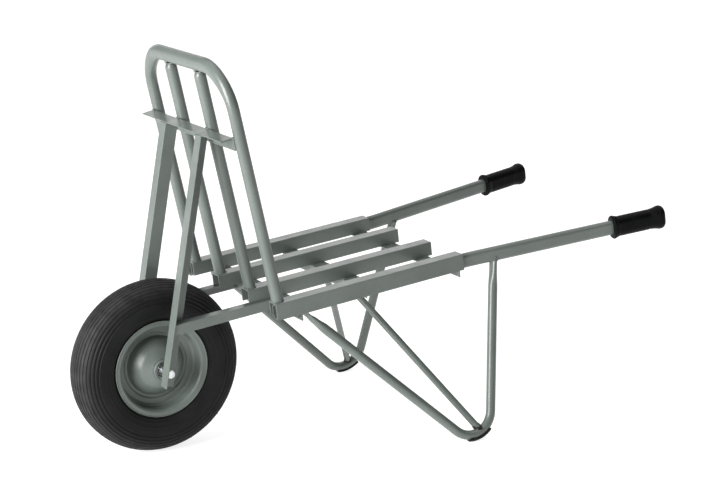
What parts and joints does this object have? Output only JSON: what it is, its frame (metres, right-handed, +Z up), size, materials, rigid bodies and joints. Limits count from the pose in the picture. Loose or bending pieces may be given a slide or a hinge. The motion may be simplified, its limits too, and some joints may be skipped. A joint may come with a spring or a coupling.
{
  "type": "single-wheel barrow",
  "caption": "Open-frame single-wheel barrow: sloping slatted bed, leaning tube headboard, pneumatic wheel in an angle-steel fork, bent tube legs and two handles with rubber grips.",
  "frame": {"origin": "on the ground under the middle of the barrow's bounding box", "axes": "+X from the wheel towards the handles, +Y to the right seen from the wheel looking at the handles (the operator's right), +Z up"},
  "size_m": [1.4056, 0.6638, 0.9135],
  "materials": {
    "frame_paint": "smooth semi-gloss grey-green enamel",
    "grip_rubber": "moulded black rubber, slight sheen",
    "shoe_rubber": "dull black rubber wear shoe",
    "tyre_rubber": "satin black tyre rubber",
    "tube_rubber": "thin black butyl",
    "valve_rubber": "black rubber",
    "shield_rubber": "dull moulded seal",
    "zinc_plate": "bright zinc plate",
    "bearing_steel": "ground bearing steel"
  },
  "bodies": {
    "frame": {"slat_left_outer": "frame_paint", "slat_left_inner": "frame_paint", "slat_right_inner": "frame_paint", "slat_right_outer": "frame_paint", "front_cross_angle": "frame_paint", "middle_cross_angle": "frame_paint", "rear_cross_angle": "frame_paint", "handle_left": "frame_paint", "handle_right": "frame_paint", "headboard_hoop": "frame_paint", "headboard_bar_left": "frame_paint", "headboard_bar_right": "frame_paint", "headboard_cross_angle": "frame_paint", "fork_strut_left": "frame_paint", "fork_strut_right": "frame_paint", "fork_stay_left": "frame_paint", "fork_stay_right": "frame_paint", "leg_left": "frame_paint", "leg_right": "frame_paint", "leg_brace_left": "frame_paint", "leg_brace_right": "frame_paint", "grip_left": "grip_rubber", "grip_right": "grip_rubber", "foot_shoe_left": "shoe_rubber", "foot_shoe_right": "shoe_rubber", "axle_sleeve": "zinc_plate", "bearing_spacer": "bearing_steel", "bearing_inner_ring_left": "bearing_steel", "bearing_inner_ring_right": "bearing_steel", "axle_washer_left": "zinc_plate", "axle_washer_right": "zinc_plate", "axle_bolt": "zinc_plate", "axle_nut": "zinc_plate"},
    "wheel": {"tyre": "tyre_rubber", "inner_tube": "tube_rubber", "rim_shell_left": "frame_paint", "rim_shell_right": "frame_paint", "hub_tube": "frame_paint", "bearing_outer_ring_left": "bearing_steel", "bearing_outer_ring_right": "bearing_steel", "bearing_balls_left": "bearing_steel", "bearing_balls_right": "bearing_steel", "bearing_shield_left": "shield_rubber", "bearing_shield_right": "shield_rubber", "valve_stem": "valve_rubber", "valve_cap": "valve_rubber"}
  },
  "joints": [
    {"name": "wheel_spin", "type": "hinge", "parent": "frame", "child": "wheel", "pos_m": [-0.50275, 0, 0.2], "axis": [0, 1, 0], "continuous": true}
  ]
}
